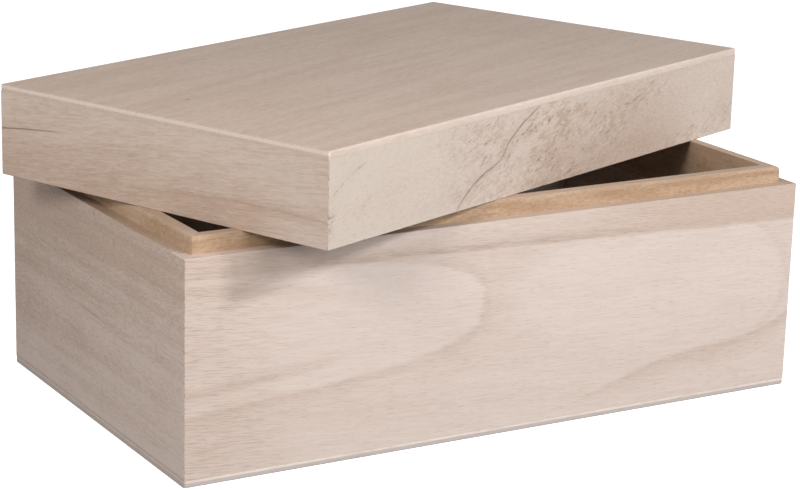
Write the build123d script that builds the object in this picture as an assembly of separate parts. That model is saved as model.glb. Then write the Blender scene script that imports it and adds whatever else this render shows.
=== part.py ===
from build123d import *

import os

# A keepsake box of raw wood with a loose lid that lifts off, shown with the lid lying askew on the lip.
# Millimetres, +Z up. The origin is the centre of the underside, and +X runs along the length.

# Outside plan of the box, shared by base and lid so that they shut flush.
LENGTH = 300.0
WIDTH = 180.0

# Boards and panels.
BASE_BOARD_HEIGHT = 91.0
BASE_BOARD_THICKNESS = 5.5
BOTTOM_PANEL_THICKNESS = 3.0
LID_BOARD_HEIGHT = 36.0
TOP_PANEL_THICKNESS = 3.0

# Lip: mitred strips glued inside the base's boards, standing proud to locate the lid.
LIP_THICKNESS = 6.0
LIP_STRIP_HEIGHT = 25.0
LIP_PROUD = 7.0
LID_CLEARANCE = 0.5

# Sanded edges. A panel's corner is rounder in plan than its edge is in section.
BOARD_CORNER_RADIUS = 0.3
BOARD_EASING = 0.25
PANEL_CORNER_RADIUS = 1.0
PANEL_ROUNDING = 0.9
LIP_ROUNDING = 1.5

# Where the loose lid lies: its turn about +Z and its centre over the base.
LID_TURN = 21.9
LID_SHIFT_X = -0.4
LID_SHIFT_Y = 15.0

# Sizes that follow from the ones above.
WALL_TOP = BOTTOM_PANEL_THICKNESS + BASE_BOARD_HEIGHT
LIP_TOP = WALL_TOP + LIP_PROUD
LID_BOARD_THICKNESS = BASE_BOARD_THICKNESS - LID_CLEARANCE
INNER_LENGTH = LENGTH - 2 * BASE_BOARD_THICKNESS
INNER_WIDTH = WIDTH - 2 * BASE_BOARD_THICKNESS

# A rounding takes at most this share of the thickness that it is cut from.
LARGEST_ROUNDING = 0.8


def rounding(radius, thickness):
    """A radius, limited by the thickness that it is cut from."""
    return min(radius, LARGEST_ROUNDING * thickness)


def outer_edges(solid, end):
    """The edges round the outside of a solid's top (end -1) or bottom (end 0) face."""
    return solid.faces().sort_by(Axis.Z)[end].outer_wire().edges()


def eased_frame(thickness, height):
    """Four boards of the box's plan as one closed frame on z = 0, with every outer edge eased."""
    outside = RectangleRounded(LENGTH, WIDTH, BOARD_CORNER_RADIUS)
    inside = Rectangle(LENGTH - 2 * thickness, WIDTH - 2 * thickness)
    frame = extrude(outside - inside, height)
    easing = rounding(BOARD_EASING, thickness)
    return fillet(outer_edges(frame, -1) + outer_edges(frame, 0), easing)


def mitre_sector(plan, overrun, height):
    """An upright block of a closed plan, from one overrun below z = 0 to one above the height."""
    return Pos(0, 0, -overrun) * extrude(make_face(plan), height + 2 * overrun)


def mitred_boards(frame, length, width, thickness, height):
    """A frame cut at its corners' mitres into its front, back, left and right boards.

    Each cutting sector overruns its board on every side, so that only its two mitres cut."""
    x_out, y_out = length / 2 + thickness, width / 2 + thickness
    x_in, y_in = length / 2 - 2 * thickness, width / 2 - 2 * thickness
    front_plan = Polyline((-x_out, -y_out), (x_out, -y_out), (x_in, -y_in), (-x_in, -y_in), close=True)
    left_plan = Polyline((-x_out, y_out), (-x_out, -y_out), (-x_in, -y_in), (-x_in, y_in), close=True)
    front = (frame & mitre_sector(front_plan, thickness, height)).solid()
    left = (frame & mitre_sector(left_plan, thickness, height)).solid()
    half_turn = Rot(0, 0, 180)
    return {"front": front, "back": half_turn * front, "left": left, "right": half_turn * left}


def base_boards():
    """The base's four walls, glued on the bottom panel."""
    frame = eased_frame(BASE_BOARD_THICKNESS, BASE_BOARD_HEIGHT)
    boards = mitred_boards(frame, LENGTH, WIDTH, BASE_BOARD_THICKNESS, BASE_BOARD_HEIGHT)
    wall_place = Pos(0, 0, BOTTOM_PANEL_THICKNESS)
    return {f"{side}_wall": wall_place * board for side, board in boards.items()}


def lip_strips():
    """The lip's four strips against the inside of the walls, rounded over on top towards the lid."""
    outside = Rectangle(INNER_LENGTH, INNER_WIDTH)
    inside = Rectangle(INNER_LENGTH - 2 * LIP_THICKNESS, INNER_WIDTH - 2 * LIP_THICKNESS)
    frame = extrude(outside - inside, LIP_STRIP_HEIGHT)
    frame = fillet(outer_edges(frame, -1), rounding(LIP_ROUNDING, LIP_THICKNESS))
    strips = mitred_boards(frame, INNER_LENGTH, INNER_WIDTH, LIP_THICKNESS, LIP_STRIP_HEIGHT)
    lip_place = Pos(0, 0, LIP_TOP - LIP_STRIP_HEIGHT)
    return {f"lip_{side}": lip_place * strip for side, strip in strips.items()}


def panel(thickness, top_radius, bottom_radius):
    """A thin panel of the box's plan on z = 0, with its corners and its two outer edges rounded."""
    sheet = extrude(RectangleRounded(LENGTH, WIDTH, PANEL_CORNER_RADIUS), thickness)
    sheet = fillet(outer_edges(sheet, -1), rounding(top_radius, thickness))
    return fillet(outer_edges(sheet, 0), rounding(bottom_radius, thickness))


def lid_pieces():
    """The lid's four boards and its top panel, in the lid's own place: its open underside at z = 0."""
    frame = eased_frame(LID_BOARD_THICKNESS, LID_BOARD_HEIGHT)
    boards = mitred_boards(frame, LENGTH, WIDTH, LID_BOARD_THICKNESS, LID_BOARD_HEIGHT)
    pieces = {f"lid_{side}_wall": board for side, board in boards.items()}
    top = panel(TOP_PANEL_THICKNESS, PANEL_ROUNDING, BOARD_EASING)
    pieces["lid_top_panel"] = Pos(0, 0, LID_BOARD_HEIGHT) * top
    return pieces


lid_place = Pos(LID_SHIFT_X, LID_SHIFT_Y, LIP_TOP) * Rot(0, 0, LID_TURN)

bottom = panel(BOTTOM_PANEL_THICKNESS, BOARD_EASING, PANEL_ROUNDING)
pieces = {"bottom_panel": bottom}
pieces.update(base_boards())
pieces.update(lip_strips())
pieces.update({name: lid_place * piece for name, piece in lid_pieces().items()})

os.makedirs("parts", exist_ok=True)
for name, piece in pieces.items():
    export_step(piece, f"parts/{name}.step")
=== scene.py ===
"""Looks of a raw-wood keepsake box with a loose lid, laid out as an add-on and run as a script.

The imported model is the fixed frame. Each board, panel and strip is a new surface, worked out from the sizes
of the plain solid that it stands for, with sanded and slightly worn edges and a wood of its own.
"""
import functools
import math
from collections import namedtuple

import bpy
import numpy as np
from bpy.props import FloatProperty, FloatVectorProperty, PointerProperty
from mathutils import Matrix, Vector


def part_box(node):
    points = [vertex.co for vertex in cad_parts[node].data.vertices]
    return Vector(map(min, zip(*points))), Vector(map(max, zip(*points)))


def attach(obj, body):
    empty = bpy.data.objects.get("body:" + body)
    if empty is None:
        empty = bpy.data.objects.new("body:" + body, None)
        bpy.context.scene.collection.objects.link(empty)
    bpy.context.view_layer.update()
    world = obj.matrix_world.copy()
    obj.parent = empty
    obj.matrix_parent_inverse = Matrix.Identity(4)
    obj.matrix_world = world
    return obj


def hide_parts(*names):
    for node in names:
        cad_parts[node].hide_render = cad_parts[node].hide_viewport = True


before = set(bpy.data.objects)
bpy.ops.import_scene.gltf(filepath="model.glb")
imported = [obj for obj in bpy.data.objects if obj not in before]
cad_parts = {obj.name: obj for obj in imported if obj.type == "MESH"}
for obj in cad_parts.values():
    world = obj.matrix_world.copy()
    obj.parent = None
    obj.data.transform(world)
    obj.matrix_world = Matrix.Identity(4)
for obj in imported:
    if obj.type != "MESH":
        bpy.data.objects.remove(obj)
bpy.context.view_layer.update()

bl_info = {
    "name": "Keepsake box looks",
    "version": (1, 0, 0),
    "blender": (4, 5, 0),
    "location": "View3D > Sidebar > Keepsake box",
    "description": "Dresses the boards, panels and lip of a raw-wood keepsake box, and sets its stage",
    "category": "Object",
}

MM = 0.001
QUARTER_TURN = math.pi / 2

# The sides of a frame of boards, a quarter turn apart, against the clock as seen from above.
SIDES = ("front", "right", "back", "left")

# Steps of the surfaces: along a board, round half a mitred corner, round an edge and over the hidden faces.
RUN_STEPS = 151
CORNER_STEPS = 4
EDGE_STEPS = 6
HIDDEN_STEPS = (3, 8, 3)
PANEL_RUN_STEPS = 121
PANEL_CORNER_STEPS = 9

# Rows of a section that belong to a rounded edge, and those of its outer face.
ROUNDED = -1
OUTER_FACE = 0

# Worn edges: the knots of a wandering radius, and how far apart they lie along an edge and up a corner.
WEAR_KNOTS = 997
WEAR_SPACING = 3.5 * MM
CORNER_WEAR_SPACING = 1.7 * MM

# At its corners, a panel's edge is rounded by at most a share of the corner in plan, and elsewhere by more.
LARGEST_EDGE = 0.9
EDGE_LIMIT_RISE = 0.12
LAST_RING = 1.05

# The attribute that marks faces whose tone changes at the edges: paled by sanding, and on the bottom panel's
# edge greyed by painted shade.
SANDED_AND_SHADED = "sanded"

# How far a panel's sides take their edge tone, below and above a share of its thickness, and its long sides'
# roundings: pale sanding dust on the lid's panel, painted shade on the bottom panel.
Sanding = namedtuple("Sanding", "long_sides short_sides split rounding")
LID_SANDING = Sanding((0.33, 0.33), (0.3, 1.0), split=0.4, rounding=0.2)
# Painted shade: the bottom panel's edge is greyed and darkened below the split, as if in shade next to the
# floor.
FOOT_SHADING = Sanding((1.0, 0.0), (1.0, 0.5), split=0.64, rounding=1.0)

# Where a body lies.
Seat = namedtuple("Seat", "x y turn")

# Groups of pieces: their seed draws the wear, and their shift moves the noises of their woods.
Boards = namedtuple("Boards", "piece node wood body slot seat face_steps seed shift sawn_top")
Panel = namedtuple("Panel", "piece node wood body slot seat sanding seed shift sawn_top")
SHIFT_STEP = 10


def node_points(node):
    """The corners of a node's mesh as rows of x, y and z."""
    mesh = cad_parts[node].data
    points = np.empty(3 * len(mesh.vertices))
    mesh.vertices.foreach_get("co", points)
    return points.reshape(-1, 3)


def lid_seat():
    """Where the lid lies: the middle of its panel, and the turn of its front board's largest upright face."""
    low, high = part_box("lid_top_panel")
    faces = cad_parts["lid_front_wall"].data.polygons
    broadest = max(faces, key=lambda face: face.area * (1 - abs(face.normal.z)))
    outward = broadest.normal if broadest.normal.y < 0 else -broadest.normal
    middle = (low + high) / 2
    return Seat(middle.x, middle.y, math.atan2(outward.x, -outward.y))


def straight_box(node, seat):
    """A node's lowest and highest corner once its seat's place and turn are undone."""
    points = node_points(node) - np.array((seat.x, seat.y, 0))
    cosine, sine = math.cos(seat.turn), math.sin(seat.turn)
    along = points[:, 0] * cosine + points[:, 1] * sine
    across = points[:, 1] * cosine - points[:, 0] * sine
    straight = np.stack((along, across, points[:, 2]), axis=1)
    return straight.min(axis=0), straight.max(axis=0)


BASE_SEAT = Seat(0.0, 0.0, 0.0)
LID_SEAT = lid_seat()

BASE_WALLS = Boards("base_board_{}", "{}_wall", "base_{}_wood", "base", "board_wood", BASE_SEAT,
                    face_steps=60, seed=1, shift=0, sawn_top=True)
LIP_STRIPS = Boards("lip_strip_{}", "lip_{}", "lip_{}_wood", "base", "lip_wood", BASE_SEAT,
                    face_steps=16, seed=2, shift=60, sawn_top=True)
LID_WALLS = Boards("lid_board_{}", "lid_{}_wall", "lid_{}_wood", "lid", "board_wood", LID_SEAT,
                   face_steps=26, seed=3, shift=110, sawn_top=False)
BOTTOM_PANEL = Panel("base_panel", "bottom_panel", "bottom_panel_wood", "base", "panel_wood", BASE_SEAT,
                     FOOT_SHADING, seed=4, shift=50, sawn_top=False)
LID_PANEL = Panel("lid_panel", "lid_top_panel", "lid_panel_wood", "lid", "panel_wood", LID_SEAT,
                  LID_SANDING, seed=5, shift=160, sawn_top=True)


# Settings

BRIGHTEST = 2.0


def setting(description, value, **kind):
    """A number that the user may change."""
    return FloatProperty(description=description, default=value, min=0.0, **kind)


def length_setting(description, millimetres):
    """A length that the user may change, given in millimetres."""
    return setting(description, millimetres * MM, unit="LENGTH")


def colour_setting(description, *colour):
    """A colour that the user may change, as red, green and blue."""
    return FloatVectorProperty(description=description, default=colour, min=0.0, max=BRIGHTEST,
                               subtype="COLOR")


class KeepsakeSizes(bpy.types.PropertyGroup):
    """Sizes of the sanded edges. The pieces' own sizes come from the frame."""

    board_easing: length_setting("Radius of the boards' outer edges", 0.3)
    inner_easing: length_setting("Radius of edges that are only just broken", 0.08)
    corner_rounding: length_setting("Radius of the walls' and lid's upright corners", 0.42)
    lip_rounding: length_setting("Radius of the lip's top edge towards the lid", 1.5)
    lip_corner: length_setting("Radius of the lip's upright corners", 0.5)
    mitre_gap: length_setting("How far each wall stops short of its mitre", 0.02)
    lip_mitre_gap: length_setting("How far each lip strip stops short of its mitre", 0.03)
    panel_corner: length_setting("Radius of the panels' corners in plan", 1.0)
    panel_rounding: length_setting("Radius of the lid panel's rounded edge", 0.9)
    panel_end_share: setting("Rounding of short sides against long ones", 0.4)
    foot_rounding: length_setting("Radius of the bottom panel's edge on the floor", 0.5)
    wear: setting("How far the boards' radii wander, as a share of them", 0.25, subtype="FACTOR")
    fine_wear: setting("The same for the panels and the lip", 0.12, subtype="FACTOR")


class KeepsakeColours(bpy.types.PropertyGroup):
    """Colours of the woods: pale ground, tan rings, brown pores and veins, the dust of sanded edges, and
    painted shade on the bottom panel's edge; brown also paints the shade at the joints.
    """

    board_pale: colour_setting("Palest wood of the base's boards", 0.69, 0.585, 0.525)
    board_tan: colour_setting("Tan wood of the base's boards", 0.575, 0.45, 0.375)
    lid_front_pale: colour_setting("Palest wood of the lid's front", 0.63, 0.533, 0.46)
    lid_front_tan: colour_setting("Tan wood of the lid's front", 0.48, 0.36, 0.284)
    lid_pale: colour_setting("Palest wood of the lid's other boards", 0.685, 0.58, 0.502)
    lid_tan: colour_setting("Tan wood of the lid's other boards", 0.555, 0.415, 0.33)
    panel_pale: colour_setting("Palest wood of the lid's panel", 0.645, 0.522, 0.442)
    panel_tan: colour_setting("Tan wood of the lid's panel", 0.54, 0.42, 0.34)
    lip_pale: colour_setting("Palest wood of the lip", 0.55, 0.40, 0.278)
    lip_tan: colour_setting("Tan wood of the lip", 0.41, 0.264, 0.16)
    lip_top: colour_setting("Greyer top of the lip", 0.50, 0.385, 0.30)
    # Brown also darkens the painted shade at the joints.
    brown: colour_setting("Pores, growth lines and veins", 0.19, 0.115, 0.075)
    sawn: colour_setting("Unsanded top and bottom edges of the boards", 0.47, 0.35, 0.255)
    dust: colour_setting("Pale sanded edges", 0.785, 0.685, 0.61)
    # Painted shade: greys and darkens the bottom panel's edge next to the floor.
    foot_dust: colour_setting("Greyer sanded edge of the bottom panel", 0.535, 0.475, 0.445)


class KeepsakeStage(bpy.types.PropertyGroup):
    """The floor, the lights and the camera."""

    floor_colour: colour_setting("Colour of the floor", 0.88, 0.88, 0.88)
    floor_glow: setting("How brightly the floor shines by itself", 0.9)
    sky: setting("Strength of the even light from all round", 0.27)
    key_power: setting("Power of the light in front on the right", 14.7, unit="POWER")
    key_colour: colour_setting("Colour of the light in front on the right", 0.985, 1.0, 1.03)
    fill_power: setting("Power of the low light in front", 4.5, unit="POWER")
    fill_colour: colour_setting("Colour of the low light in front", 1.0, 1.0, 1.0)
    side_power: setting("Power of the light in front on the left", 2.48, unit="POWER")
    side_colour: colour_setting("Colour of the light in front on the left", 1.07, 1.0, 0.95)
    left_power: setting("Power of the broad light on the left", 0.53, unit="POWER")
    left_colour: colour_setting("Colour of the broad light on the left", 1.07, 1.0, 0.95)
    lens: FloatProperty(description="Focal length of the camera", default=108.544, min=1.0, unit="CAMERA")


# Surfaces

def wander(along, spacing, seed):
    """Smooth random values from -1 to 1 along a line: evenly spaced knots, eased from one to the next."""
    knots = np.random.default_rng(seed).uniform(-1, 1, WEAR_KNOTS)
    place = along / spacing
    first = np.floor(place).astype(int)
    share = place - first
    eased = share * share * (3 - 2 * share)
    return knots[first % WEAR_KNOTS] * (1 - eased) + knots[(first + 1) % WEAR_KNOTS] * eased


def rounded_section(thickness, height, radius, face_steps):
    """A rectangle with four rounded corners, for each column of radii: depths, heights and each row's face.

    It runs up the outer face, in over the top, down the inner face and out along the foot. A corner is a
    quarter circle about the point that lies one radius inside it both ways, and straight flats join them.
    """
    spread = np.s_[:, None, None]
    corner_depth = np.array((0, 0, thickness, thickness))[spread]
    corner_height = np.array((0, height, height, 0))[spread]
    inward_depth = np.array((1, 1, -1, -1))[spread]
    inward_height = np.array((1, -1, -1, 1))[spread]
    first_angle = QUARTER_TURN * np.array((3, 2, 1, 0))[spread]
    angle = first_angle - np.linspace(0, QUARTER_TURN, EDGE_STEPS)[:, None]
    arc_depth = corner_depth + radius[:, None] * (inward_depth + np.cos(angle))
    arc_height = corner_height + radius[:, None] * (inward_height + np.sin(angle))
    depths, heights, facing = [], [], []
    for face, steps in enumerate((face_steps, *HIDDEN_STEPS)):
        following = (face + 1) % len(radius)
        share = np.linspace(0, 1, steps + 2)[1:-1, None]
        for rows, arc in ((depths, arc_depth), (heights, arc_height)):
            rows.append(arc[face])
            rows.append(arc[face, -1] + share * (arc[following, 0] - arc[face, -1]))
        facing += [ROUNDED] * (EDGE_STEPS - 1) + [face] * (steps + 1)
    return np.concatenate(depths), np.concatenate(heights), np.array(facing)


def mitred_board(length, height, thickness, face_steps, roundings, corner_rounding, mitre_gap, wear, seed,
                 corner_seeds):
    """One board of a mitred frame: x along it, y inwards from its outer face, z up from its foot.

    A rounded section is carried along the board, and its four radii wander as worn edges do. At each end it
    turns by 45 degrees about the upright axis of the frame's rounded corner, down to the mitre plane. Points
    that lie deeper than that axis run straight on to the mitre, where the way from the end equals the depth.
    """
    turn = np.linspace(0, QUARTER_TURN / 2, CORNER_STEPS + 1)[1:]
    bend = np.concatenate((turn[::-1], np.zeros(RUN_STEPS), turn))
    ends = np.ones(CORNER_STEPS)
    share = np.concatenate((-ends, np.linspace(-1, 1, RUN_STEPS), ends))
    along = share * length / 2
    worn = [1 + wear * wander(along, WEAR_SPACING, (seed, edge)) for edge in range(len(roundings))]
    radius = np.array(roundings)[:, None] * np.array(worn)
    depth, up, facing = rounded_section(thickness, height, radius, face_steps)
    left, right = (1 + wear * wander(up, CORNER_WEAR_SPACING, corner_seed) for corner_seed in corner_seeds)
    corner = corner_rounding * np.where(share < 0, left, right)
    outside = corner - depth
    turned = corner - outside * np.sin(bend)
    straight = depth + corner * (1 - bend / turn[-1])
    end = np.where(outside > 0, turned, straight) + mitre_gap
    reach = end + (length / 2 - end) * (1 - abs(share))
    inward = np.where(outside > 0, corner - outside * np.cos(bend), depth)
    points = np.stack((np.sign(share) * (length / 2 - reach), inward, up), axis=-1)
    at_corner = np.maximum(bend[1:], bend[:-1]) > 0
    corner_faces = (facing == OUTER_FACE)[:, None] & at_corner
    rounded = (facing == ROUNDED)[:, None] | corner_faces
    return closed_grid(points, rounded, corner_faces.astype(float), section_is_loop=True)


def edged_panel(length, width, thickness, corner, roundings, end_share, sanding, wear, seed):
    """A panel on z = 0: an edge section carried round a rounded rectangle, closed by two flat faces.

    The section is a quarter circle below and one above, whose radii wander round the outline, change by a
    share on the short sides and shrink towards the corners. A last ring further in on each side keeps the
    flat faces flat. A point lies at its corner's centre, or between two centres, plus the corner radius less
    its inset, along the outward direction. The side is split at a share of the thickness, and takes its edge
    tone differently below and above it: pale dust on the lid's panel, painted shade on the bottom panel.
    """
    centres = np.array(((1, -1), (1, 1), (-1, 1), (-1, -1))) * (length / 2 - corner, width / 2 - corner)
    share = np.linspace(0, 1, PANEL_RUN_STEPS)[1:-1, None]
    centre_path, angle_path = [], []
    for index, centre in enumerate(centres):
        following = centres[(index + 1) % len(centres)]
        first_angle = QUARTER_TURN * (index - 1)
        centre_path += [np.tile(centre, (PANEL_CORNER_STEPS, 1)), centre + share * (following - centre)]
        angle_path += [first_angle + np.linspace(0, QUARTER_TURN, PANEL_CORNER_STEPS),
                       np.full(len(share), first_angle + QUARTER_TURN)]
    centre = np.concatenate(centre_path)
    angle = np.concatenate(angle_path)
    outward = np.stack((np.cos(angle), np.sin(angle)), axis=1)
    outline = centre + corner * outward
    travelled = np.cumsum(np.linalg.norm(np.diff(outline, axis=0, prepend=outline[-1:]), axis=1))
    from_corner = (np.array((length, width)) / 2 - corner - abs(centre)).max(axis=1)
    limit = LARGEST_EDGE * corner + EDGE_LIMIT_RISE * from_corner
    side_share = 1 + (end_share - 1) * abs(outward[:, 0])
    radii = []
    for edge, rounding in enumerate(roundings):
        worn = side_share * (1 + wear * wander(travelled, WEAR_SPACING, (seed, edge)))
        radii.append(np.minimum(rounding * worn, limit))
    lower, upper = radii
    sweep = np.linspace(0, QUARTER_TURN, EDGE_STEPS)[:, None]
    ring = np.ones((1, len(angle)))
    inset = np.concatenate((ring * lower * LAST_RING, lower * (1 - np.sin(sweep)), ring * 0,
                            upper * (1 - np.cos(sweep)), ring * upper * LAST_RING))
    up = np.concatenate((ring * 0, lower * (1 - np.cos(sweep)), ring * thickness * sanding.split,
                         thickness - upper * (1 - np.sin(sweep)), ring * thickness))
    plan = centre + (corner - inset)[..., None] * outward
    points = np.concatenate((plan, up[..., None]), axis=2)
    sanded = np.zeros((len(points) - 1, len(angle)))
    long_side = 1 - abs(outward[:, 0])
    sanded[1:-1] = sanding.rounding * long_side
    long, short = np.array(sanding.long_sides), np.array(sanding.short_sides)
    sanded[EDGE_STEPS:EDGE_STEPS + 2] = short[:, None] + (long - short)[:, None] * long_side
    rounded = np.ones(sanded.shape, dtype=bool)
    rounded[[0, -1]] = False
    return closed_grid(points, rounded, sanded, section_is_loop=False)


def closed_grid(points, rounded, sanded, section_is_loop):
    """A tube of quads over a grid of points, closed by a flat face on each open end.

    The rows are joined in a ring where the section is a loop, and otherwise the columns, where the path is
    one. Gives the points, the faces, which of them are rounded and each one's share of the edge tone:
    sanding, and on the bottom panel painted shade.
    """
    number = np.arange(points.shape[0] * points.shape[1]).reshape(points.shape[:2])
    if section_is_loop:
        upper = np.roll(number, -1, axis=0)
        quads = np.stack((number[:, :-1], number[:, 1:], upper[:, 1:], upper[:, :-1]), axis=-1)
        ends = [number[:, 0].tolist(), number[::-1, -1].tolist()]
    else:
        onward = np.roll(number, -1, axis=1)
        quads = np.stack((number[:-1], onward[:-1], onward[1:], number[1:]), axis=-1)
        ends = [number[0, ::-1].tolist(), number[-1].tolist()]
    faces = quads.reshape(-1, 4).tolist() + ends
    flat_ends = np.zeros(len(ends))
    rounded_faces = np.concatenate((rounded.reshape(-1), flat_ends > 0))
    return points.reshape(-1, 3), faces, rounded_faces, np.concatenate((sanded.reshape(-1), flat_ends))


def placed(points, seat, quarters, out, foot):
    """Points moved out from their frame's middle, raised to the foot and turned to their side and seat."""
    angle = seat.turn + quarters * QUARTER_TURN
    turn = np.array(((math.cos(angle), -math.sin(angle)), (math.sin(angle), math.cos(angle))))
    plan = (points[:, :2] - (0, out)) @ turn.T + (seat.x, seat.y)
    return np.column_stack((plan, points[:, 2] + foot))


def add_piece(name, body, node, slot, points, faces, rounded, sanded, material):
    """A finished piece: its mesh in place at the origin, riding on its body and standing for a node."""
    mesh = bpy.data.meshes.new(name)
    mesh.from_pydata(points.tolist(), [], faces)
    mesh.polygons.foreach_set("use_smooth", rounded)
    mesh.attributes.new(SANDED_AND_SHADED, "FLOAT", "FACE").data.foreach_set("value", sanded)
    mesh.materials.append(material)
    mesh.update()
    piece = bpy.data.objects.new(name, mesh)
    bpy.context.scene.collection.objects.link(piece)
    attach(piece, body)
    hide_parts(node)


def add_boards(boards, roundings, corner_rounding, mitre_gap, wear, woods):
    """The four boards of a mitred frame, each with its own wood."""
    nodes = [boards.node.format(side) for side in SIDES]
    boxes = np.array([straight_box(node, boards.seat) for node in nodes])
    low, high = boxes[:, 0].min(axis=0), boxes[:, 1].max(axis=0)
    length, width, height = high - low
    for quarters, (side, node, wood) in enumerate(zip(SIDES, nodes, woods)):
        run, across = (width, length) if quarters % 2 else (length, width)
        thickness = (boxes[quarters, 1] - boxes[quarters, 0])[:2].min()
        corner_seeds = [(boards.seed, len(SIDES), (quarters + end) % len(SIDES)) for end in (0, 1)]
        points, *surface = mitred_board(run, height, thickness, boards.face_steps, roundings, corner_rounding,
                                        mitre_gap, wear, (boards.seed, quarters), corner_seeds)
        points = placed(points, boards.seat, quarters, across / 2, low[2])
        shift = boards.shift + SHIFT_STEP * quarters
        material = raw_wood(boards.wood.format(side), boards, quarters, low[2], height, wood, shift)
        add_piece(boards.piece.format(side), boards.body, node, boards.slot, points, *surface, material)


def add_panel(panel, roundings, sizes, wood):
    """A panel that stands for a node, with roundings for its lower and its upper edge."""
    low, high = straight_box(panel.node, panel.seat)
    length, width, thickness = high - low
    points, *surface = edged_panel(length, width, thickness, sizes.panel_corner, roundings,
                                   sizes.panel_end_share, panel.sanding, sizes.fine_wear, panel.seed)
    points = placed(points, panel.seat, 0, 0.0, low[2])
    material = raw_wood(panel.wood, panel, 0, low[2], thickness, wood, panel.shift)
    add_piece(panel.piece, panel.body, panel.node, panel.slot, points, *surface, material)


# Shader maths

def math_method(operation, swapped=False):
    """A method that adds a Math node for a value and another one or a number, in this order or swapped."""

    def method(self, other=0.0):
        pair = (other, self) if swapped else (self, other)
        return self.node("ShaderNodeMath", {"operation": operation}, dict(enumerate(pair)))

    return method


class Value:
    """One output socket of a material's nodes. Arithmetic on values adds Math nodes."""

    def __init__(self, tree, socket=None):
        self.tree = tree
        self.socket = socket

    def node(self, kind, settings=None, sockets=None, output=0):
        """Adds a node, makes its settings, fills or links its sockets and gives one of its outputs."""
        node = self.tree.nodes.new(kind)
        for name, setting in (settings or {}).items():
            if name == "curve_points":
                set_curve(node, setting)
            else:
                setattr(node, name, setting)
        for key, value in (sockets or {}).items():
            if isinstance(value, Value):
                self.tree.links.new(value.socket, node.inputs[key])
            else:
                node.inputs[key].default_value = value
        return Value(self.tree, node.outputs[output] if node.outputs else None)

    __add__ = __radd__ = math_method("ADD")
    __sub__ = math_method("SUBTRACT")
    __rsub__ = math_method("SUBTRACT", swapped=True)
    __mul__ = __rmul__ = math_method("MULTIPLY")
    __truediv__ = math_method("DIVIDE")
    __pow__ = math_method("POWER")
    __abs__ = math_method("ABSOLUTE")
    at_least = math_method("MAXIMUM")

    def eased(self, low, high):
        """0 at low, 1 at high, a smooth step between them and level beyond them."""
        sockets = {"Value": self, "From Min": low, "From Max": high}
        return self.node("ShaderNodeMapRange", {"interpolation_type": "SMOOTHSTEP"}, sockets)

    def ridge(self, before, after):
        """1 where the value is 0, falling smoothly to 0 at one distance before it and another after it."""
        return self.eased(-before, 0.0) * self.eased(after, 0.0)


def set_curve(node, curve_points):
    """Gives a curve node its points, from 0 to 1 both ways."""
    curve = node.mapping.curves[0]
    first, *middle, last = curve_points
    curve.points[0].location = first
    curve.points[-1].location = last
    for point in middle:
        curve.points.new(*point)
    node.mapping.update()


def largest(values):
    """The largest of several values at each point."""
    return functools.reduce(Value.at_least, values)


# A kind of noise: the size of its blobs in millimetres along x, y and z, and where it is cut from the noise.
Grain = namedtuple("Grain", "size shift detail roughness", defaults=(2.0, 0.5))
NOISE_MIDDLE = 0.5


def noise(point, grain, shift=0.0):
    """Noise about its middle with the blobs of a grain."""
    scale = tuple(1 / length for length in grain.size)
    sockets = {0: point, 1: scale, 2: (grain.shift + shift,) * 3}
    moved = point.node("ShaderNodeVectorMath", {"operation": "MULTIPLY_ADD"}, sockets)
    sockets = {"Vector": moved, "Scale": 1.0, "Detail": grain.detail, "Roughness": grain.roughness}
    return point.node("ShaderNodeTexNoise", {}, sockets)


def swing(point, grain, reach, shift=0.0):
    """Noise about 0 that swings by about half the reach each way."""
    return (noise(point, grain, shift) - NOISE_MIDDLE) * reach


# A Mix node's inputs for its factor and two colours, and its output for a colour.
MIX_INPUTS = (0, 6, 7)
MIX_OUTPUT = 2


def mixed(factor, first, second):
    """One colour passing into another as a factor goes from 0 to 1."""
    sockets = dict(zip(MIX_INPUTS, (factor, first, second)))
    return factor.node("ShaderNodeMix", {"data_type": "RGBA"}, sockets, MIX_OUTPUT)


def opaque(colour):
    """A colour setting with the fourth number that a colour socket takes."""
    return (*colour, 1.0)


# Figures of the woods, in millimetres along a board, in from the middle of its frame and up from its foot

# What a figure gives: tan tone, growth lines, the lean of the grain, brown veins and how much is left sawn.
Figure = namedtuple("Figure", "warmth line lean vein sawn", defaults=(0.0, 1.0))

# A growth ring: how far it fades outwards, how tan it is and how dark its line. A tongue is one that closes.
Ring = namedtuple("Ring", "fade warmth line")
Tongue = namedtuple("Tongue", "tip middle power breadth ring")

# How softly a ring starts, how wide its dark line is inside and outside, and the dashes that make it up.
RING_RISE = 3.0
LINE_RISE = 1.6
LINE_FALL = 4.5
DASHES = Grain((10, 4, 0.9), 5.9)
DASH_RANGE = (0.4, 0.62)
DASH_REST = 0.3


def climbing(slope):
    """The turn that lets a board's grain climb by a slope towards +x."""
    return (0, math.atan(slope), 0)


def veering(slope):
    """The turn that lets a panel's grain veer by a slope towards +y."""
    return (0, 0, -math.atan(slope))


def leaning(point, lean):
    """A point turned so that patterns along its x follow the lean of the grain."""
    return point.node("ShaderNodeMapping", {}, {"Vector": point, "Rotation": lean})


def tongue_distance(x, z, tongue):
    """How far a point lies outside a growth line that closes in a tongue towards +x, in millimetres.

    On the line, the height from the middle to the power equals the breadth times the way back from the tip.
    The difference of the two, divided by its own slope, is nearly the distance.
    """
    height = abs(z - tongue.middle)
    excess = height ** tongue.power / tongue.breadth - (tongue.tip - x)
    slope = tongue.power / tongue.breadth * height ** (tongue.power - 1)
    return excess / (slope * slope + 1) ** 0.5


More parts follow.
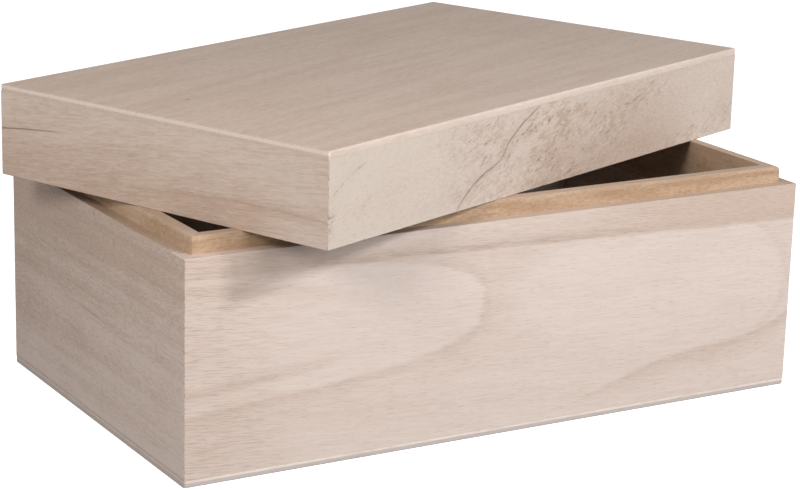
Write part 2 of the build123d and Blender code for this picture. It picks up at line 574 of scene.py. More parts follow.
def route_distance(x, z, route):
    """How far a point lies above a line that runs through the points of a route, in millimetres."""
    (first_x, first_z), (last_x, last_z) = route[0], route[-1]
    run = last_x - first_x
    top = max(height for along, height in route)
    curve_points = [((along - first_x) / run, height / top) for along, height in route]
    sockets = {"Value": (x - first_x) / run}
    height = x.node("ShaderNodeFloatCurve", {"curve_points": curve_points}, sockets) * top
    return (z - height) * (run / math.hypot(run, last_z - first_z))


def along_route(x, route, fade):
    """1 along the run of a route, fading to 0 past its ends."""
    first, last = route[0][0], route[-1][0]
    return x.eased(first - fade, first + fade) * x.eased(last + fade, last - fade)


def away_from(across, up, spot, reach):
    """How far a point lies from a spot, as a share of the reach both ways."""
    first = (across - spot[0]) / reach[0]
    second = (up - spot[1]) / reach[1]
    return (first * first + second * second) ** 0.5


PIN_KNOT_CORE = (1.0, 0.25)
PIN_KNOT_HALO = (3.0, 0.4)
PIN_KNOT_HALO_SHARE = 0.25


def pin_knots(across, up, spots, reach, depth):
    """Small dark knots at some spots, each with a faint halo."""
    ways = [away_from(across, up, spot, reach) for spot in spots]
    knots = [way.eased(*PIN_KNOT_CORE) + way.eased(*PIN_KNOT_HALO) * PIN_KNOT_HALO_SHARE for way in ways]
    return largest(knots) * depth


def faded(ring, share):
    """A ring that shows by a share only."""
    return ring._replace(warmth=ring.warmth * share, line=ring.line * share)


def ringed_figure(point, rings, ground, lean):
    """Growth rings on a ground tone, from pairs of a distance and a ring.

    Each is pale up to its dashed line, most tan on it and paler again outwards.
    """
    warmth = largest([ring.warmth * distance.ridge(RING_RISE, ring.fade) for distance, ring in rings])
    line = largest([ring.line * distance.ridge(LINE_RISE, LINE_FALL) for distance, ring in rings])
    dashes = noise(leaning(point, lean), DASHES).eased(*DASH_RANGE)
    return Figure(ground + warmth, line * (DASH_REST + (1 - DASH_REST) * dashes), lean)


FRONT_GROUND = 0.12
FRONT_WAVER = Grain((50, 30, 16), 3.1)
FRONT_WAVER_REACH = 5.0
FRONT_TEETH = Grain((16, 4, 0.7), 8.2)
FRONT_TEETH_REACH = 9.0
FRONT_CORE = Tongue(tip=-60, middle=56, power=3.1, breadth=162, ring=Ring(9, 0.35, 0.7))
FRONT_CORE_END = (-62, -115)
FRONT_TONGUE = Tongue(tip=-12, middle=56.7, power=3.45, breadth=1080, ring=Ring(24, 0.32, 0.9))
FRONT_TIP = Tongue(tip=147.5, middle=49, power=2.0, breadth=37, ring=Ring(14, 0.2, 0.2))
FRONT_LOW_LINE = ((30, 4), (50, 10), (90, 18.5), (110, 20.5), (130, 24), (150, 31))
FRONT_LOW_RING = Ring(14, 0.4, 0.9)
FRONT_LOW_START = (28, 62)
FRONT_OVER_LOW_LINE = (-3, 2)
FRONT_FLANK_HEIGHT = 79.8
FRONT_FLANK_FALL = 0.022
FRONT_FLANK_WAVER = 0.2
FRONT_FLANK_START = (-125, -70)
FRONT_FLANK_RING = Ring(14, 0.6, 2.0)
FRONT_FLANK_CHANGE = Ring(76, 0.35, -1.6)
FRONT_RIGHT_END = (20, 120)
FRONT_RIGHT_WARMTH = 0.1
FRONT_LEFT_END = (-85, -140)
FRONT_LEFT_WARMTH = 0.32
FRONT_SAWN_START = (-135, -45)
FRONT_END_LINES = Grain((11, 4, 0.6), 17.4)
FRONT_END_LINE_RANGE = (0.5, 0.64)
FRONT_END_LINE_DEPTH = 1.5
FRONT_END_SLOPE = -0.11
FRONT_SLOPE = -0.05


def front_figure(point, x, y, z):
    """The base's front board: growth lines that close in tongues to the right, under a straight flank."""
    waver = swing(point, FRONT_WAVER, FRONT_WAVER_REACH)
    level = z + waver
    along = x + swing(point, FRONT_TEETH, FRONT_TEETH_REACH)
    flank = z + waver * FRONT_FLANK_WAVER - (FRONT_FLANK_HEIGHT - x * FRONT_FLANK_FALL)
    low_line = route_distance(x, level, FRONT_LOW_LINE)
    left_end, right_end = x.eased(*FRONT_LEFT_END), x.eased(*FRONT_RIGHT_END)
    tongues = (FRONT_CORE, FRONT_TONGUE, FRONT_TIP)
    core, middle, tip = (tongue_distance(along, level, tongue) for tongue in tongues)
    changed = zip(FRONT_FLANK_RING, FRONT_FLANK_CHANGE)
    flank_ring = Ring(*(start + right_end * change for start, change in changed))
    rings = (
        (0 - core, faded(FRONT_CORE.ring, x.eased(*FRONT_CORE_END))),
        (middle.at_least(flank), FRONT_TONGUE.ring),
        (tip.at_least(flank), faded(FRONT_TIP.ring, low_line.eased(*FRONT_OVER_LOW_LINE))),
        (0 - low_line, faded(FRONT_LOW_RING, x.eased(*FRONT_LOW_START))),
        (flank, faded(flank_ring, x.eased(*FRONT_FLANK_START))),
    )
    ground = FRONT_GROUND + left_end * FRONT_LEFT_WARMTH + right_end * FRONT_RIGHT_WARMTH
    figure = ringed_figure(point, rings, ground, climbing(FRONT_SLOPE))
    end_grain = leaning(point, climbing(FRONT_END_SLOPE))
    dashes = noise(end_grain, FRONT_END_LINES).eased(*FRONT_END_LINE_RANGE)
    line = figure.line.at_least(dashes * left_end * FRONT_END_LINE_DEPTH)
    return figure._replace(line=line, sawn=x.eased(*FRONT_SAWN_START))


BACK_GROUND = 0.15
BACK_CORE = Tongue(tip=-20, middle=40, power=2.6, breadth=90, ring=Ring(20, 0.35, 0.8))
BACK_TONGUE = Tongue(tip=70, middle=38, power=2.8, breadth=420, ring=Ring(30, 0.4, 0.9))
BACK_SLOPE = 0.03


def back_figure(point, x, y, z):
    """The base's back board: two nested tongues of growth lines."""
    level = z + swing(point, FRONT_WAVER, FRONT_WAVER_REACH)
    along = swing(point, FRONT_TEETH, FRONT_TEETH_REACH) - x
    rings = [(tongue_distance(along, level, tongue), tongue.ring) for tongue in (BACK_CORE, BACK_TONGUE)]
    return ringed_figure(point, rings, BACK_GROUND, climbing(BACK_SLOPE))


# A streaked wood: its bands and thin lines, how tan it is between bands and how much more on them, its lean.
Streaks = namedtuple("Streaks", "bands lines ground contrast lean")
BAND_RANGE = (0.35, 0.65)
FINE_LINE_RANGE = (0.56, 0.72)
NO_LEAN = climbing(0.0)

STRAIGHT_STREAKS = Streaks(Grain((220, 30, 7), 7.7), Grain((60, 12, 1.3), 2.3), 0.25, 0.45, NO_LEAN)
LIP_STREAKS = Streaks(Grain((24, 6, 4), 21.3), Grain((22, 2, 1.4), 8.8), 0.0, 0.5, NO_LEAN)

# How tan the lip's four strips are between their bands.
LIP_GROUNDS = (0.5, 0.0, 0.1, 0.1)


def streaked_figure(streaks, point, x, y, z):
    """Tan bands and thin growth lines along the lean of the grain, as on a board sawn across the rings."""
    turned = leaning(point, streaks.lean)
    band = noise(turned, streaks.bands).eased(*BAND_RANGE)
    line = noise(turned, streaks.lines).eased(*FINE_LINE_RANGE)
    return Figure(streaks.ground + band * streaks.contrast, line, streaks.lean)


straight_figure = functools.partial(streaked_figure, STRAIGHT_STREAKS)
LIP_FIGURES = [functools.partial(streaked_figure, LIP_STREAKS._replace(ground=ground))
               for ground in LIP_GROUNDS]

THIN_STREAK = (0.5, 0.6)
SIDE_STREAKS = STRAIGHT_STREAKS._replace(ground=-0.13, contrast=0.36)
SIDE_TOP_SHADE = 0.0115385
SIDE_BACK_SHADE = 0.0025
SIDE_STREAK = ((-14, 45.2), (12, 43.9))
SIDE_STREAK_FADE = 8
SIDE_STREAK_DEPTH = 0.3
SIDE_KNOTS = ((22.4, 81), (1.9, 88.4))
SIDE_KNOT_REACH = (1.5, 1.1)
SIDE_KNOT_DEPTH = 0.25
SIDE_SAWN_END = (89, 35)


def side_figure(point, x, y, z):
    """The base's left board: painted shade makes it warmer and darker towards its top and its back end; a
    dark streak and two knots.
    """
    plain = streaked_figure(SIDE_STREAKS, point, x, y, z)
    run = along_route(x, SIDE_STREAK, SIDE_STREAK_FADE)
    streak = route_distance(x, z, SIDE_STREAK).ridge(*THIN_STREAK) * run
    vein = streak * SIDE_STREAK_DEPTH + pin_knots(x, z, SIDE_KNOTS, SIDE_KNOT_REACH, SIDE_KNOT_DEPTH)
    # Painted shade: the wood turns warmer and darker towards the top and towards the back end, where less
    # light falls.
    warmth = plain.warmth + z * SIDE_TOP_SHADE - x * SIDE_BACK_SHADE
    return plain._replace(warmth=warmth, vein=vein, sawn=x.eased(*SIDE_SAWN_END))


# The lid's veins: how dark each is and how much of it is broken off.
Vein = namedtuple("Vein", "route depth breaks")
LID_VEINS = (
    Vein(((-68, 0.5), (-54, 11), (-38, 17), (-32, 24), (-12, 35)), 0.66, 0.35),
    Vein(((-36, 13), (-28, 22), (-18, 28), (-12, 33)), 0.6, 0.9),
    Vein(((30, 10.5), (44, 17), (50, 25), (62, 27), (80, 34)), 0.36, 0.85),
    Vein(((-149, 20), (-138.7, 26.7), (-129, 30.6)), 0.3, 1.0),
    Vein(((-132, 11), (-124, 17)), 0.26, 1.0),
)
VEIN_WAVER = Grain((9, 9, 7), 5.3)
VEIN_WAVER_REACH = 1.5
VEIN_BREAKS = Grain((2.6, 9, 2.6), 12.9)
VEIN_BREAK_RANGE = (0.46, 0.58)
VEIN_CORE = (0.8, 0.8)
VEIN_HALO = (4, 5)
VEIN_HALO_SHARE = 0.15
VEIN_FADE = 3

# Brown clouds round the veins.
Cloud = namedtuple("Cloud", "spot reach strength")
LID_CLOUDS = (
    Cloud((-50, 26), (24, 12), 0.55),
    Cloud((-38, 7), (34, 10), 0.45),
    Cloud((4, 27), (24, 10), 0.85),
    Cloud((-4, 12), (17, 12), 0.8),
    Cloud((0, 2), (26, 6), 0.8),
    Cloud((40, 18), (20, 16), 0.45),
    Cloud((66, 27), (30, 9), 0.35),
    Cloud((112, 1), (26, 6), 0.6),
    Cloud((138, 8), (16, 7), 0.35),
    Cloud((-152, 10), (6, 7), 1.0),
)
CLOUD_EDGE = (1.3, 0.35)
CLOUD_WAVER = Grain((7, 7, 5), 9.1, 3.0, 0.6)
CLOUD_WAVER_REACH = 2.2
MOTTLE = Grain((7, 8, 3.2), 19.1, 5.0, 0.72)
MOTTLE_RANGE = (0.42, 0.62)
MOTTLE_REST = 0.1
SPECKS = Grain((3.4, 3.0, 1.1), 4.6, 3.0, 0.7)
SPECK_RANGE = (0.54, 0.66)
SPECK_REST = 0.12
SPECK_DEPTH = 0.6
SPECK_LEAN = (0, math.radians(22), 0)
LID_GROUND = 0.02
LID_WARM_START = (-125, -60)
LID_WARMTH = 0.1615
LID_MIDDLE_START = (-45, 10)
LID_MIDDLE_END = (125, 70)
LID_MIDDLE_TOP = (45, 5)
LID_MIDDLE_WARMTH = 0.57
LID_SLOPE = 0.1


def veined_figure(point, x, y, z):
    """The lid's front board: wavy dark veins that climb to the right, between clouds of brown specks."""
    level = z + swing(point, VEIN_WAVER, VEIN_WAVER_REACH)
    ragged = swing(point, CLOUD_WAVER, CLOUD_WAVER_REACH)
    slanted = leaning(point, SPECK_LEAN)
    clouds = [(away_from(x, z, cloud.spot, cloud.reach) + ragged).eased(*CLOUD_EDGE) * cloud.strength
              for cloud in LID_CLOUDS]
    browned = largest(clouds)
    mottle = noise(slanted, MOTTLE).eased(*MOTTLE_RANGE) - MOTTLE_REST
    specks = noise(slanted, SPECKS).eased(*SPECK_RANGE) * (SPECK_REST + browned)
    dark = [specks * SPECK_DEPTH]
    whole = noise(point, VEIN_BREAKS).eased(*VEIN_BREAK_RANGE)
    for vein in LID_VEINS:
        distance = route_distance(x, level, vein.route)
        core = distance.ridge(*VEIN_CORE) * (1 - vein.breaks + vein.breaks * whole)
        shade = core + distance.ridge(*VEIN_HALO) * VEIN_HALO_SHARE
        dark.append(along_route(x, vein.route, VEIN_FADE) * shade * vein.depth)
    middle = x.eased(*LID_MIDDLE_START) * x.eased(*LID_MIDDLE_END) * z.eased(*LID_MIDDLE_TOP)
    tan = x.eased(*LID_WARM_START) * LID_WARMTH + middle * LID_MIDDLE_WARMTH
    return Figure(LID_GROUND + tan + browned * mottle, 0.0, climbing(LID_SLOPE), largest(dark))


SLOPED_STREAKS = Streaks(Grain((90, 30, 5), 4.4), Grain((40, 8, 1.1), 14.2), 0.1, 0.15, climbing(0.1))
SLOPED_STREAK = ((-90, 20), (-72, 22), (-52, 23.6))
SLOPED_STREAK_END = (-42, -75)
SLOPED_STREAK_DEPTH = 0.75
SLOPED_RING = ((-15, 7.5), (10, 9), (36, 10.9), (55, 11.4), (90, 10.7))
SLOPED_RING_WAVER = 3.0
SLOPED_RING_START = (-25, 20)
SLOPED_RING_REACH = (3, 2)
SLOPED_RING_WARMTH = 0.3
SLOPED_LOW = (32, 4)
SLOPED_LOW_WARMTH = 0.6
SLOPED_LOW_END = (45, 85)
SLOPED_LOW_FADE = 0.85


def sloped_figure(point, x, y, z):
    """The lid's left board: grain that climbs to the right, a thin dark streak and a warm lower half."""
    plain = streaked_figure(SLOPED_STREAKS, point, x, y, z)
    ring = route_distance(x, z + swing(point, VEIN_WAVER, SLOPED_RING_WAVER), SLOPED_RING)
    ring_run = x.eased(*SLOPED_RING_START)
    low = z.eased(*SLOPED_LOW) * (1 - SLOPED_LOW_FADE * x.eased(*SLOPED_LOW_END))
    tan = low * SLOPED_LOW_WARMTH + ring.ridge(*SLOPED_RING_REACH) * ring_run * SLOPED_RING_WARMTH
    line = plain.line.at_least(ring.ridge(*VEIN_CORE) * ring_run)
    streak = route_distance(x, z, SLOPED_STREAK).ridge(*THIN_STREAK) * x.eased(*SLOPED_STREAK_END)
    return plain._replace(warmth=plain.warmth + tan, line=line, vein=streak * SLOPED_STREAK_DEPTH)


PANEL_STREAKS = Streaks(Grain((80, 7, 14), 1.9), Grain((50, 1.2, 12), 6.1), 0.22, 0.34, veering(0.06))
PLY_LINE = 1.6
PLY_LINE_REACH = (0.25, 0.25)
PLY_LINE_DEPTH = 0.5


def panel_figure(point, x, y, z):
    """A panel: streaks along its face, and one faint glue line along its edge."""
    plain = streaked_figure(PANEL_STREAKS, point, x, y, z)
    return plain._replace(line=plain.line + (z - PLY_LINE).ridge(*PLY_LINE_REACH) * PLY_LINE_DEPTH)


LID_PANEL_LEFT_SHADE = 0.0006
LID_PANEL_BACK_SHADE = 0.0012
PANEL_KNOT = (-118.2, 12.4)
PANEL_KNOT_REACH = (2.2, 1.3)
PANEL_KNOT_DEPTH = 0.35


def knotted_panel_figure(point, x, y, z):
    """The lid's panel: as the other panel, with one pin knot, and painted shade that makes it warmer and
    darker towards its back and left.
    """
    knot = pin_knots(x, y, (PANEL_KNOT,), PANEL_KNOT_REACH, PANEL_KNOT_DEPTH)
    plain = panel_figure(point, x, y, z)
    # Painted shade: warmer, darker wood towards the back and the left of the top, where less light falls.
    return plain._replace(vein=knot, warmth=plain.warmth - x * LID_PANEL_LEFT_SHADE + y * LID_PANEL_BACK_SHADE)


# Raw wood

# A piece's wood: its tones, the function that draws its figure, and how much of each noise it shows.
Wood = namedtuple("Wood", "tones figure texture")
# On the bottom panel, the dust tone carries painted shade.
Tones = namedtuple("Tones", "pale tan brown sawn dust")

# Its noises: bands and blotches, crowds of pores, nicks, and fibres and pores that a texture sizes anew.
BANDS = Grain((120, 14, 7), 0)
BLOTCHES = Grain((30, 25, 16), 23)
CROWDS = Grain((40, 10, 5), 43)
NICKS = Grain((2.2, 1.8, 1.6), 57)
FIBRES = Grain((1, 1, 1), 11, 3.0, 0.6)
PORES = Grain((1, 1, 1), 31, 1.0)

# How much of these a wood shows, how large its fibres and pores are, how far its painted shade at the joint
# shows and how far its edges show.
Texture = namedtuple("Texture", "bands blotches fibres lines pores fibre_size pore_size nicks joint sawn "
                     "dust", defaults=(0.0, 0.0, 0.0, 0.0))
FRONT_TEXTURE = Texture(bands=0.3, blotches=0.4, fibres=1.15, lines=0.13, pores=0.11, nicks=0.5, sawn=0.6,
                        fibre_size=(11, 0.8, 0.7), pore_size=(5.0, 0.5, 0.42))
SIDE_TEXTURE = Texture(bands=0.7, blotches=0.9, fibres=1.95, lines=0.1, pores=0.17, nicks=0.5, joint=0.28,
                       sawn=0.95, fibre_size=(4.0, 0.9, 0.9), pore_size=(2.5, 0.6, 0.6))
LID_FRONT_TEXTURE = Texture(bands=0.3, blotches=0.5, fibres=1.3, lines=0.1, pores=0.08, nicks=0.4, joint=0.02,
                            sawn=0.5, fibre_size=(3.0, 0.9, 0.9), pore_size=(2.5, 0.6, 0.6))
LID_TEXTURE = Texture(bands=0.4, blotches=0.6, fibres=1.9, lines=0.1, pores=0.1, nicks=0.4, joint=0.02,
                      sawn=0.5, fibre_size=(6.0, 0.8, 0.8), pore_size=(3.5, 0.5, 0.5))
PANEL_TEXTURE = Texture(bands=0.3, blotches=0.5, fibres=2.15, lines=0.05, pores=0.07, dust=1.0,
                        fibre_size=(6.0, 1.0, 1.0), pore_size=(3.5, 0.6, 0.6))
LIP_TEXTURE = Texture(bands=0.5, blotches=0.7, fibres=1.7, lines=0.1, pores=0.14, nicks=0.2, sawn=0.8,
                      fibre_size=(2.4, 0.9, 1.0), pore_size=(2.0, 0.8, 0.8))

PORE_RANGE = (0.72, 0.84)
PORE_CROWDING = 0.25
PORE_WARMTH = 0.1
NICK_RANGE = (0.52, 0.66)
JOINT_SHADE_REACH = (1.5, 0.3)
SAWN_REACH = (0.4, 0.12)
ROUGHNESS = 0.66
FIBRE_ROUGHNESS = 0.3
SPECULAR = 0.3
BUMP_STRENGTH = 0.35
BUMP_HEIGHT = 0.12 * MM
FIBRE_HEIGHT = 0.5


def raw_wood(name, piece, quarters, foot, height, wood, shift):
    """Raw sanded wood: streaks, a figure, short dark pores, soft blotches and its edges, with painted shade
    at its joint and on the bottom panel's edge.

    The pattern is laid out in millimetres: its x runs along the board, its y is the depth from the frame's
    middle and its z the height above the foot. Streaks and pores follow the lean of the figure's grain.
    """
    texture = wood.texture
    tones = Tones(*map(opaque, wood.tones))
    joint_height, sawn_height = (0.0, height / MM) if piece.sawn_top else (height / MM, 0.0)
    material = bpy.data.materials.new(name)
    material.use_nodes = True
    material.node_tree.nodes.clear()
    start = Value(material.node_tree)
    place = start.node("ShaderNodeTexCoord", output="Object")
    turn = (0, 0, piece.seat.turn + quarters * QUARTER_TURN)
    location = (piece.seat.x, piece.seat.y, foot)
    sockets = {"Vector": place, "Location": location, "Rotation": turn, "Scale": (MM, MM, MM)}
    point = start.node("ShaderNodeMapping", {"vector_type": "TEXTURE"}, sockets)
    x, y, z = (point.node("ShaderNodeSeparateXYZ", {}, {0: point}, axis) for axis in "XYZ")
    drawn = wood.figure(point, x, y, z)
    grain = leaning(point, drawn.lean)
    fibre = swing(grain, FIBRES._replace(size=texture.fibre_size), 1.0, shift)
    pore_field = noise(grain, PORES._replace(size=texture.pore_size), shift)
    crowding = PORE_CROWDING * noise(grain, CROWDS, shift) + PORE_WARMTH * drawn.warmth
    pores = (pore_field + crowding).eased(*PORE_RANGE)
    bands = swing(grain, BANDS, texture.bands, shift)
    blotches = swing(grain, BLOTCHES, texture.blotches, shift)
    warmth = drawn.warmth + bands + blotches + texture.fibres * fibre
    ground = mixed(warmth, tones.pale, tones.tan)
    sawn = abs(z - sawn_height).eased(*SAWN_REACH) * (texture.sawn * drawn.sawn)
    edged = mixed(sawn, ground, tones.sawn)
    sanded = start.node("ShaderNodeAttribute", {"attribute_name": SANDED_AND_SHADED}, output="Fac")
    nicks = noise(point, NICKS, shift).eased(*NICK_RANGE) * sanded * texture.nicks
    # Edge tone: pale dust on the lid's panel; on the bottom panel, painted shade that greys its edge.
    dusted_and_shaded = mixed(sanded * texture.dust, edged, tones.dust)
    # Painted shade: a dark line along the joint between the boards and their panel, strongest on the base's
    # side walls.
    joint = abs(z - joint_height).eased(*JOINT_SHADE_REACH) * texture.joint
    darkness = drawn.line * texture.lines + pores * texture.pores + drawn.vein + nicks + joint
    colour = mixed(darkness, dusted_and_shaded, tones.brown)
    relief = {"Strength": BUMP_STRENGTH, "Distance": BUMP_HEIGHT, "Height": fibre * FIBRE_HEIGHT - pores}
    bump = start.node("ShaderNodeBump", {}, relief)
    roughness = ROUGHNESS + fibre * FIBRE_ROUGHNESS
    finish = {"Base Color": colour, "Roughness": roughness, "Specular IOR Level": SPECULAR, "Normal": bump}
    shader = start.node("ShaderNodeBsdfPrincipled", {}, finish)
    start.node("ShaderNodeOutputMaterial", {}, {"Surface": shader})
    return material


# Pieces

class PieceStep:
    """What the steps that build pieces share: each takes its sizes and colours from the scene."""

    def execute(self, context):
        self.build(context.scene.keepsake_sizes, context.scene.keepsake_colours)
        return {"FINISHED"}


class KEEPSAKE_OT_base_walls(PieceStep, bpy.types.Operator):
    """Builds the base's four mitred walls"""

    bl_idname = "keepsake.base_walls"
    bl_label = "Base walls"

    def build(self, sizes, colours):
        tones = Tones(colours.board_pale, colours.board_tan, colours.brown, colours.sawn, colours.dust)
        woods = (Wood(tones, front_figure, FRONT_TEXTURE), Wood(tones, straight_figure, SIDE_TEXTURE),
                 Wood(tones, back_figure, FRONT_TEXTURE), Wood(tones, side_figure, SIDE_TEXTURE))
        roundings = (sizes.inner_easing, sizes.board_easing, sizes.inner_easing, sizes.inner_easing)
        add_boards(BASE_WALLS, roundings, sizes.corner_rounding, sizes.mitre_gap, sizes.wear, woods)


class KEEPSAKE_OT_base_panel(PieceStep, bpy.types.Operator):
    """Builds the bottom panel, glued under the base's walls"""

    bl_idname = "keepsake.base_panel"
    bl_label = "Bottom panel"

    def build(self, sizes, colours):
        pale = colours.panel_pale
        # Painted shade: the bottom panel's edge tone is foot_dust, which greys its edge next to the floor.
        tones = Tones(colours.dust, pale, colours.brown, pale, colours.foot_dust)
        wood = Wood(tones, panel_figure, PANEL_TEXTURE)
        add_panel(BOTTOM_PANEL, (sizes.foot_rounding, sizes.inner_easing), sizes, wood)


class KEEPSAKE_OT_lip_strips(PieceStep, bpy.types.Operator):
    """Builds the lip's four mitred strips"""

    bl_idname = "keepsake.lip_strips"
    bl_label = "Lip strips"

    def build(self, sizes, colours):
        tones = Tones(colours.lip_pale, colours.lip_tan, colours.brown, colours.lip_top, colours.lip_top)
        woods = [Wood(tones, figure, LIP_TEXTURE) for figure in LIP_FIGURES]
        roundings = (sizes.inner_easing, sizes.lip_rounding, sizes.inner_easing, sizes.inner_easing)
        add_boards(LIP_STRIPS, roundings, sizes.lip_corner, sizes.lip_mitre_gap, sizes.fine_wear, woods)


class KEEPSAKE_OT_lid_walls(PieceStep, bpy.types.Operator):
    """Builds the lid's four mitred walls"""

    bl_idname = "keepsake.lid_walls"
    bl_label = "Lid walls"

    def build(self, sizes, colours):
        tones = Tones(colours.lid_pale, colours.lid_tan, colours.brown, colours.sawn, colours.dust)
        front_tones = tones._replace(pale=colours.lid_front_pale, tan=colours.lid_front_tan)
        plain = Wood(tones, straight_figure, LID_TEXTURE)
        woods = (Wood(front_tones, veined_figure, LID_FRONT_TEXTURE), plain, plain,
                 Wood(tones, sloped_figure, LID_TEXTURE))
        roundings = (sizes.board_easing, sizes.inner_easing, sizes.inner_easing, sizes.inner_easing)
        add_boards(LID_WALLS, roundings, sizes.corner_rounding, sizes.mitre_gap, sizes.wear, woods)


class KEEPSAKE_OT_lid_panel(PieceStep, bpy.types.Operator):
    """Builds the lid's top panel, glued on the lid's walls"""

    bl_idname = "keepsake.lid_panel"
    bl_label = "Lid panel"

    def build(self, sizes, colours):
        pale = colours.panel_pale
        tones = Tones(pale, colours.panel_tan, colours.brown, pale, colours.dust)
        wood = Wood(tones, knotted_panel_figure, PANEL_TEXTURE)
        add_panel(LID_PANEL, (sizes.inner_easing, sizes.panel_rounding), sizes, wood)


# Stage

FLOOR_REACH = 20.0
FLOOR_ROUGHNESS = 0.9
WHITE = (1.0, 1.0, 1.0, 1.0)

# Lamps stand round the box, at a bearing from its front, a height in degrees and a way off in metres.
Lamp = namedtuple("Lamp", "name bearing height distance size")
LAMPS = (
    Lamp("key", bearing=31.0, height=33.3, distance=1.79, size=0.215),
    Lamp("fill", bearing=12.0, height=21.0, distance=1.1, size=0.4),
    Lamp("side", bearing=-56.4, height=29.5, distance=0.9, size=0.2),
    Lamp("left", bearing=-72.0, height=20.0, distance=0.7, size=0.5),
)
LAMP_TARGET = Vector((0.0, 0.0, 0.08))

# The camera's place in metres, and how it is turned from looking level along +Y.
CAMERA_PLACE = Vector((-0.53101, -0.90206, 0.34592))
CAMERA_YAW = math.radians(30.43)
CAMERA_DIP = math.radians(15.263)
CAMERA_ROLL = math.radians(1.499)


def add_floor(stage):
    """A pale floor that shines by itself, so that it stays nearly white and throws no light on the box."""
    corners = FLOOR_REACH * np.array(((-1, -1, 0), (1, -1, 0), (1, 1, 0), (-1, 1, 0)))
    mesh = bpy.data.meshes.new("floor")
    mesh.from_pydata(corners.tolist(), [], [(0, 1, 2, 3)])
    material = bpy.data.materials.new("floor_paper")
    material.use_nodes = True
    shader = material.node_tree.nodes["Principled BSDF"]
    colour = opaque(stage.floor_colour)
    finish = {"Base Color": colour, "Roughness": FLOOR_ROUGHNESS, "Specular IOR Level": 0.0,
              "Emission Color": colour, "Emission Strength": stage.floor_glow}
    for name, value in finish.items():
        shader.inputs[name].default_value = value
    mesh.materials.append(material)
    floor = bpy.data.objects.new("floor", mesh)
    floor.visible_diffuse = False
    floor.visible_glossy = False
    bpy.context.scene.collection.objects.link(floor)


def add_sky(stage):
    """Even light from all round, which the camera itself sees as white."""
    world = bpy.data.worlds.new("studio")
    world.use_nodes = True
    world.node_tree.nodes.clear()
    start = Value(world.node_tree)
    seen = start.node("ShaderNodeLightPath", output="Is Camera Ray")
    dimmed = opaque((stage.sky,) * 3)
    background = start.node("ShaderNodeBackground", {}, {"Color": mixed(seen, dimmed, WHITE)})
    start.node("ShaderNodeOutputWorld", {}, {"Surface": background})
    bpy.context.scene.world = world


def add_lamp(lamp, power, colour):
    """A square soft light that shines on the box and doesn't show itself."""
    bearing, height = math.radians(lamp.bearing), math.radians(lamp.height)
    level = math.cos(height)
    place = lamp.distance * Vector((math.sin(bearing) * level, -math.cos(bearing) * level, math.sin(height)))
    light = bpy.data.lights.new(lamp.name, "AREA")
    light.size = lamp.size
    light.energy = power
    light.color = colour
    stand = bpy.data.objects.new(lamp.name, light)
    stand.location = LAMP_TARGET + place
    stand.rotation_euler = (-place).to_track_quat("-Z", "Y").to_euler()
    stand.visible_camera = False
    bpy.context.scene.collection.objects.link(stand)


def add_camera(stage):
    """The photograph's view: a long lens, looking down on the box's front left corner, a little tilted."""
    level = Vector((math.cos(CAMERA_YAW), -math.sin(CAMERA_YAW), 0))
    ahead = Vector((math.sin(CAMERA_YAW), math.cos(CAMERA_YAW), 0)) * math.cos(CAMERA_DIP)
    ahead.z = -math.sin(CAMERA_DIP)
    upright = level.cross(ahead)
    right = level * math.cos(CAMERA_ROLL) + upright * math.sin(CAMERA_ROLL)
    up = upright * math.cos(CAMERA_ROLL) - level * math.sin(CAMERA_ROLL)
    data = bpy.data.cameras.new("camera")
    data.lens = stage.lens
    camera = bpy.data.objects.new("camera", data)
    turn = Matrix((right, up, -ahead)).transposed().to_4x4()
    camera.matrix_world = Matrix.Translation(CAMERA_PLACE) @ turn
    bpy.context.scene.collection.objects.link(camera)
    bpy.context.scene.camera = camera


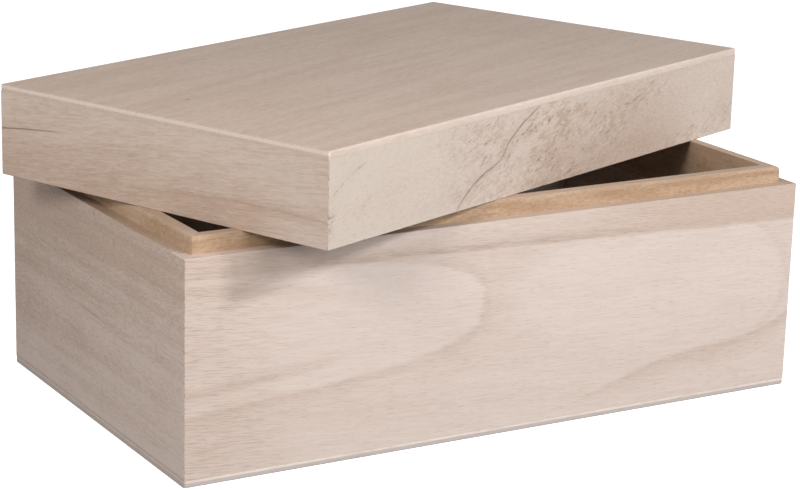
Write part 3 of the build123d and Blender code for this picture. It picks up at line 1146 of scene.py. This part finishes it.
class KEEPSAKE_OT_stage(bpy.types.Operator):
    """Sets the floor, the lights and the camera"""

    bl_idname = "keepsake.stage"
    bl_label = "Stage"

    def execute(self, context):
        stage = context.scene.keepsake_stage
        context.scene.view_settings.view_transform = "Standard"
        add_floor(stage)
        add_sky(stage)
        for lamp in LAMPS:
            add_lamp(lamp, getattr(stage, f"{lamp.name}_power"), getattr(stage, f"{lamp.name}_colour"))
        add_camera(stage)
        return {"FINISHED"}


# Add-on

PIECE_OPERATORS = (
    KEEPSAKE_OT_base_walls,
    KEEPSAKE_OT_base_panel,
    KEEPSAKE_OT_lip_strips,
    KEEPSAKE_OT_lid_walls,
    KEEPSAKE_OT_lid_panel,
    KEEPSAKE_OT_stage,
)
SETTINGS = {
    "keepsake_sizes": KeepsakeSizes,
    "keepsake_colours": KeepsakeColours,
    "keepsake_stage": KeepsakeStage,
}


class KEEPSAKE_PT_sidebar(bpy.types.Panel):
    """Lists the steps that build the box, and its settings"""

    bl_idname = "KEEPSAKE_PT_sidebar"
    bl_label = "Keepsake box"
    bl_space_type = "VIEW_3D"
    bl_region_type = "UI"
    bl_category = "Keepsake box"

    def draw(self, context):
        for operator in PIECE_OPERATORS:
            self.layout.operator(operator.bl_idname)
        for group_name, group in SETTINGS.items():
            column = self.layout.column()
            for name in group.__annotations__:
                label = name.replace("_", " ").capitalize()
                column.prop(getattr(context.scene, group_name), name, text=label)


CLASSES = (*SETTINGS.values(), *PIECE_OPERATORS, KEEPSAKE_PT_sidebar)


def register():
    """Registers the classes and hangs the settings on the scene."""
    for cls in CLASSES:
        bpy.utils.register_class(cls)
    for name, group in SETTINGS.items():
        setattr(bpy.types.Scene, name, PointerProperty(type=group))


def unregister():
    """Takes the settings and the classes away again."""
    for name in SETTINGS:
        delattr(bpy.types.Scene, name)
    for cls in reversed(CLASSES):
        bpy.utils.unregister_class(cls)


def main():
    """Registers the add-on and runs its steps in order."""
    register()
    bpy.ops.keepsake.base_walls()
    bpy.ops.keepsake.base_panel()
    bpy.ops.keepsake.lip_strips()
    bpy.ops.keepsake.lid_walls()
    bpy.ops.keepsake.lid_panel()
    bpy.ops.keepsake.stage()


if __name__ == "__main__":
    main()
